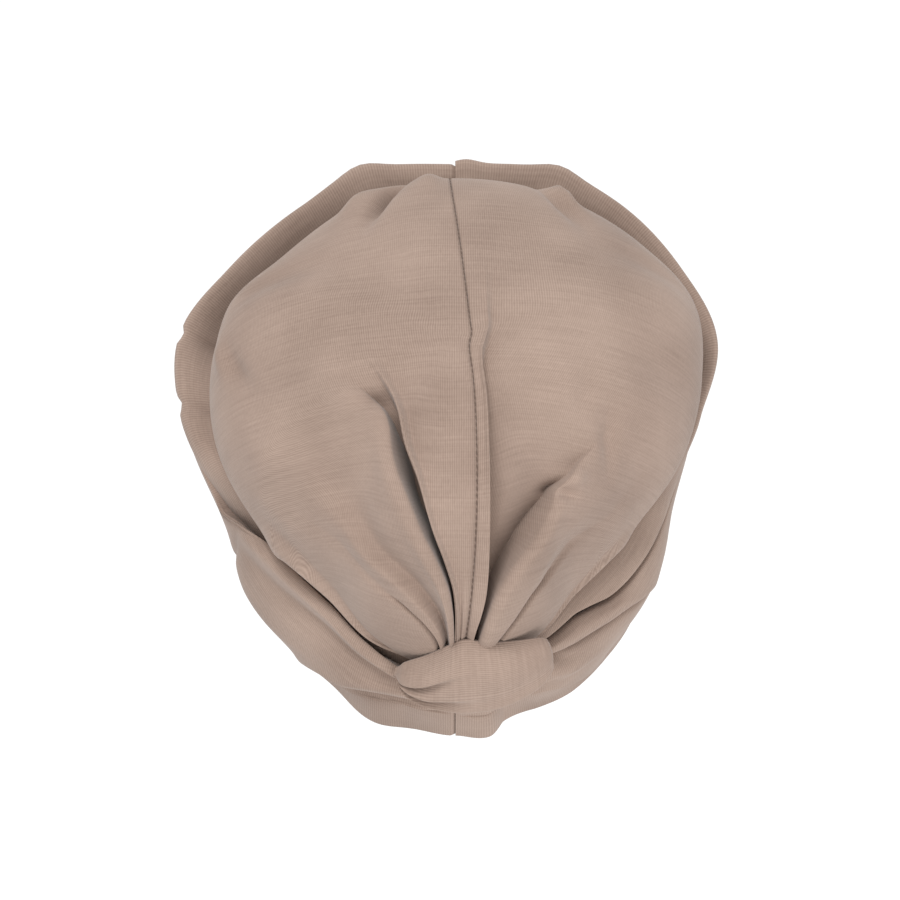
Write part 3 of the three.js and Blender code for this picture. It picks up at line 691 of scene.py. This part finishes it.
def jersey_material():
    """Fine jersey: ribs of the knit with dashes along them, slubs across, a soft mottle, and painted shade
    that darkens the folds.
    """
    known = bpy.data.materials.get("jersey_knit")
    if known:
        return known
    sizes = bpy.context.scene.turban_sizes
    colours = bpy.context.scene.turban_colours
    material = bpy.data.materials.new("jersey_knit")
    material.use_nodes = True
    nodes, links = material.node_tree.nodes, material.node_tree.links
    shader = nodes["Principled BSDF"]
    for name, value in JERSEY.items():
        shader.inputs[name].default_value = value
    cloth = nodes.new("ShaderNodeUVMap")
    cloth.uv_map = "cloth"
    place = nodes.new("ShaderNodeTexCoord")

    def scaled(x, y):
        mapping = nodes.new("ShaderNodeMapping")
        mapping.inputs["Scale"].default_value = (x, y, 1.0)
        links.new(cloth.outputs["UV"], mapping.inputs["Vector"])
        return mapping.outputs["Vector"]

    def noise(vector, scale, detail):
        texture = nodes.new("ShaderNodeTexNoise")
        texture.inputs["Scale"].default_value = scale
        texture.inputs["Detail"].default_value = detail
        links.new(vector, texture.inputs["Vector"])
        return texture.outputs["Fac"]

    def maths(operation, first, second):
        node = nodes.new("ShaderNodeMath")
        node.operation = operation
        for socket, value in zip(node.inputs, (first, second)):
            if isinstance(value, (int, float)):
                socket.default_value = value
            else:
                links.new(value, socket)
        return node.outputs["Value"]

    ribs = nodes.new("ShaderNodeTexWave")
    ribs.wave_type = "BANDS"
    ribs.bands_direction = "X"
    # At a scale of 1 the bands of a wave texture lie 2 pi / 20 apart.
    ribs.inputs["Scale"].default_value = 1.0 / sizes.wale / 20 * 2 * math.pi
    for name, value in RIB_WAVER.items():
        ribs.inputs[name].default_value = value
    links.new(cloth.outputs["UV"], ribs.inputs["Vector"])
    dashes = noise(scaled(*DASH_GRAIN), 1.0, 1.0)
    slubs = noise(scaled(*SLUB_GRAIN), 1.0, 2.0)
    mottle = noise(place.outputs["Object"], MOTTLE_GRAIN, 3.0)
    knit = maths("ADD", maths("MULTIPLY", ribs.outputs["Fac"], RIB_RELIEF),
                 maths("MULTIPLY", dashes, DASH_RELIEF))
    tone = maths("ADD", maths("MULTIPLY", knit, KNIT_TONE),
                 maths("ADD", maths("MULTIPLY", slubs, SLUB_TONE), maths("MULTIPLY", mottle, MOTTLE_TONE)))
    ramp = nodes.new("ShaderNodeValToRGB")
    for element, position, colour in zip(ramp.color_ramp.elements, (TONE_DARK, TONE_FULL),
                                         (colours.slub, colours.cloth)):
        element.position = position
        element.color = (*colour, 1)
    links.new(tone, ramp.inputs["Fac"])
    # Painted shade: the colour is mixed toward the shade colour as the folds get deeper.
    painted_shade = nodes.new("ShaderNodeAttribute")
    painted_shade.attribute_name = "fold_shade"
    shade_mix = nodes.new("ShaderNodeMix")
    shade_mix.data_type = "RGBA"
    shade_mix.inputs["B"].default_value = (*colours.full_shade, 1)
    links.new(ramp.outputs["Color"], shade_mix.inputs["A"])
    links.new(maths("MULTIPLY", painted_shade.outputs["Fac"], PAINTED_SHADE_SHARE), shade_mix.inputs["Factor"])
    links.new(shade_mix.outputs["Result"], shader.inputs["Base Color"])
    bump = nodes.new("ShaderNodeBump")
    bump.inputs["Strength"].default_value = BUMP_STRENGTH
    bump.inputs["Distance"].default_value = BUMP_HEIGHT
    links.new(maths("ADD", knit, maths("MULTIPLY", slubs, SLUB_RELIEF)), bump.inputs["Height"])
    links.new(bump.outputs["Normal"], shader.inputs["Normal"])
    return material


def plain_material(name, colour, roughness):
    """One even colour."""
    material = bpy.data.materials.new(name)
    material.use_nodes = True
    shader = material.node_tree.nodes["Principled BSDF"]
    shader.inputs["Base Color"].default_value = (*colour, 1)
    shader.inputs["Roughness"].default_value = roughness
    return material


def finish_cloth(piece, node):
    """Give a sheet its thickness and material, hang it from the root and hide the part it stands for."""
    sizes = bpy.context.scene.turban_sizes
    apply_modifier(piece, "SOLIDIFY", thickness=sizes.cloth, offset=-1.0, use_rim=True)
    piece.data.materials.append(jersey_material())
    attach(piece, "root")
    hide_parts(node)


def crown_half(side, edges, dents, name, node):
    """One half of the crown."""
    sizes = bpy.context.scene.turban_sizes
    along = from_rows(CROWN_ROWS, 1, np.linspace(0, 1, sizes.fineness))
    points, flat, painted_shade = crown_points(side, edges, dents, along, sizes.seam_depth * 1000)
    points = points + np.array([side * HALF_GAP, 0, 0])
    piece = grid_object(name, points, flat, painted_shade, flip=side < 0)
    finish_cloth(piece, node)


def wrap_half(side, edges, dents, name, node):
    """The cloth wrapped round one side."""
    fineness = bpy.context.scene.turban_sizes.fineness
    bearing = from_rows(WRAP_ROWS, 1, np.linspace(0, 1, fineness))
    points, flat, painted_shade = wrap_points(side, edges, dents, bearing)
    points = points + np.array([side * HALF_GAP, 0, 0])
    piece = grid_object(name, points, flat, painted_shade, flip=side < 0)
    finish_cloth(piece, node)


class TURBAN_OT_crown(bpy.types.Operator):
    """Make the two halves of the loose crown, with their folds"""
    bl_idname = "turban.crown"
    bl_label = "Crown"

    def execute(self, context):
        crown_half(-1, CROWN_LEFT, CROWN_LEFT_DENTS, "crown_cloth_left", "crown_left")
        crown_half(1, CROWN_RIGHT, CROWN_RIGHT_DENTS, "crown_cloth_right", "crown_right")
        return {"FINISHED"}


class TURBAN_OT_stitches(bpy.types.Operator):
    """Sew the centre seam of the crown with a row of small stitches"""
    bl_idname = "turban.stitches"
    bl_label = "Stitches"

    def execute(self, context):
        pitch = context.scene.turban_sizes.stitch
        along = np.linspace(*STITCH_RUN, STITCH_STEPS)
        x, y = crown_place(1, np.zeros_like(along), along)
        seam = crown_base(x, y) / 1000
        run = np.concatenate([[0], np.cumsum(np.linalg.norm(np.diff(seam, axis=0), axis=1))])

        def on_seam(distance):
            return np.array([np.interp(distance, run, seam[:, k]) for k in range(3)])

        select_only()
        bpy.ops.mesh.primitive_uv_sphere_add(segments=8, ring_count=6, radius=1, location=(0, 0, 0))
        first = context.object
        first.name = "seam_stitches"
        first.scale = (STITCH_THICK / 2, STITCH_THICK / 2, pitch * STITCH_SHARE / 2)
        bpy.ops.object.transform_apply(location=False, rotation=False, scale=True)
        thread = plain_material("thread", context.scene.turban_colours.thread, roughness=0.8)
        first.data.materials.append(thread)
        shape = first.data
        bpy.ops.object.shade_smooth()
        copies = [first]
        for number in range(1, int(run[-1] / pitch)):
            copy = bpy.data.objects.new("stitch_%d" % number, shape.copy())
            context.collection.objects.link(copy)
            copies.append(copy)
        for number, stitch in enumerate(copies):
            middle = (number + 0.5) * pitch
            place = on_seam(middle)
            ahead = on_seam(middle + pitch / 2)
            stitch.location = place
            stitch.rotation_mode = "QUATERNION"
            stitch.rotation_quaternion = Vector(ahead - place).to_track_quat("Z", "Y")
            stitch.select_set(True)
        context.view_layer.objects.active = first
        bpy.ops.object.join()
        bpy.ops.object.transform_apply(location=True, rotation=True, scale=True)
        first.select_set(False)
        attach(first, "root")
        return {"FINISHED"}


class TURBAN_OT_wraps(bpy.types.Operator):
    """Make the cloth wrapped round both sides, with its pleats"""
    bl_idname = "turban.wraps"
    bl_label = "Wraps"

    def execute(self, context):
        wrap_half(-1, WRAP_LEFT, WRAP_LEFT_DENTS, "wrap_cloth_left", "wrap_left")
        wrap_half(1, WRAP_RIGHT, WRAP_RIGHT_DENTS, "wrap_cloth_right", "wrap_right")
        return {"FINISHED"}


class TURBAN_OT_knot(bpy.types.Operator):
    """Make the wound knot over the gathered front"""
    bl_idname = "turban.knot"
    bl_label = "Knot"

    def execute(self, context):
        points, turn, share, painted_shade = knot_points((1 - np.cos(math.pi * np.linspace(0, 1, KNOT_ROWS))) / 2)
        flat = np.stack([turn * KNOT_CLOTH[0], share * KNOT_CLOTH[1]], axis=-1)
        piece = grid_object("knot_cloth", points, flat, painted_shade, wrap_columns=True)
        select_only(piece)
        bpy.ops.object.mode_set(mode="EDIT")
        bpy.ops.mesh.select_mode(type="EDGE")
        bpy.ops.mesh.select_all(action="DESELECT")
        bpy.ops.mesh.select_non_manifold()
        bpy.ops.mesh.fill()
        bpy.ops.mesh.select_all(action="SELECT")
        bpy.ops.mesh.normals_make_consistent(inside=False)
        bpy.ops.object.mode_set(mode="OBJECT")
        piece.select_set(False)
        piece.data.materials.append(jersey_material())
        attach(piece, "root")
        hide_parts("knot")
        return {"FINISHED"}


class TURBAN_OT_stage(bpy.types.Operator):
    """Make the floor, the lights and the camera"""
    bl_idname = "turban.stage"
    bl_label = "Stage"

    def execute(self, context):
        scene = context.scene
        select_only()
        bpy.ops.mesh.primitive_plane_add(size=FLOOR_WIDE, location=(0, 0, FLOOR_UP))
        floor = bpy.context.object
        floor.name = "floor"
        floor.data.materials.append(plain_material("floor", scene.turban_colours.floor, roughness=0.9))
        world = bpy.data.worlds.new("studio")
        scene.world = world
        world.use_nodes = True
        background = world.node_tree.nodes["Background"]
        background.inputs["Color"].default_value = (1, 1, 1, 1)
        background.inputs["Strength"].default_value = WORLD_STRENGTH
        for name, where, size, power in LIGHTS:
            light = bpy.data.lights.new(name, "AREA")
            light.size = size
            light.energy = power
            lamp = bpy.data.objects.new(name, light)
            lamp.location = where
            lamp.rotation_euler = (LIGHT_AIM - Vector(where)).to_track_quat("-Z", "Y").to_euler()
            context.collection.objects.link(lamp)
        tilt = math.radians(CAMERA_TILT)
        lens = bpy.data.cameras.new("camera")
        lens.sensor_width = SENSOR_WIDE
        lens.lens = SENSOR_WIDE * CAMERA_AWAY / VIEW_WIDE
        camera = bpy.data.objects.new("camera", lens)
        camera.location = CAMERA_AIM + CAMERA_AWAY * Vector((0, -math.cos(tilt), math.sin(tilt)))
        camera.rotation_euler = (math.pi / 2 - tilt, 0, 0)
        context.collection.objects.link(camera)
        scene.camera = camera
        scene.view_settings.view_transform = "Standard"
        return {"FINISHED"}


class TURBAN_PT_panel(bpy.types.Panel):
    """Everything that makes the turban"""
    bl_idname = "TURBAN_PT_panel"
    bl_label = "Turban"
    bl_space_type = "VIEW_3D"
    bl_region_type = "UI"
    bl_category = "Turban"

    def draw(self, context):
        layout = self.layout
        for group in (context.scene.turban_sizes, context.scene.turban_colours):
            for key in group.bl_rna.properties.keys():
                if key not in ("rna_type", "name"):
                    layout.prop(group, key)
        for operator in OPERATORS:
            layout.operator(operator.bl_idname)


OPERATORS = (TURBAN_OT_stage, TURBAN_OT_crown, TURBAN_OT_stitches, TURBAN_OT_wraps, TURBAN_OT_knot)
CLASSES = (TurbanSizes, TurbanColours, *OPERATORS, TURBAN_PT_panel)


def register():
    for cls in CLASSES:
        bpy.utils.register_class(cls)
    bpy.types.Scene.turban_sizes = bpy.props.PointerProperty(type=TurbanSizes)
    bpy.types.Scene.turban_colours = bpy.props.PointerProperty(type=TurbanColours)


def unregister():
    del bpy.types.Scene.turban_colours
    del bpy.types.Scene.turban_sizes
    for cls in reversed(CLASSES):
        bpy.utils.unregister_class(cls)


def main():
    register()
    bpy.ops.turban.stage()
    bpy.ops.turban.crown()
    bpy.ops.turban.stitches()
    bpy.ops.turban.wraps()
    bpy.ops.turban.knot()


if __name__ == "__main__":
    main()
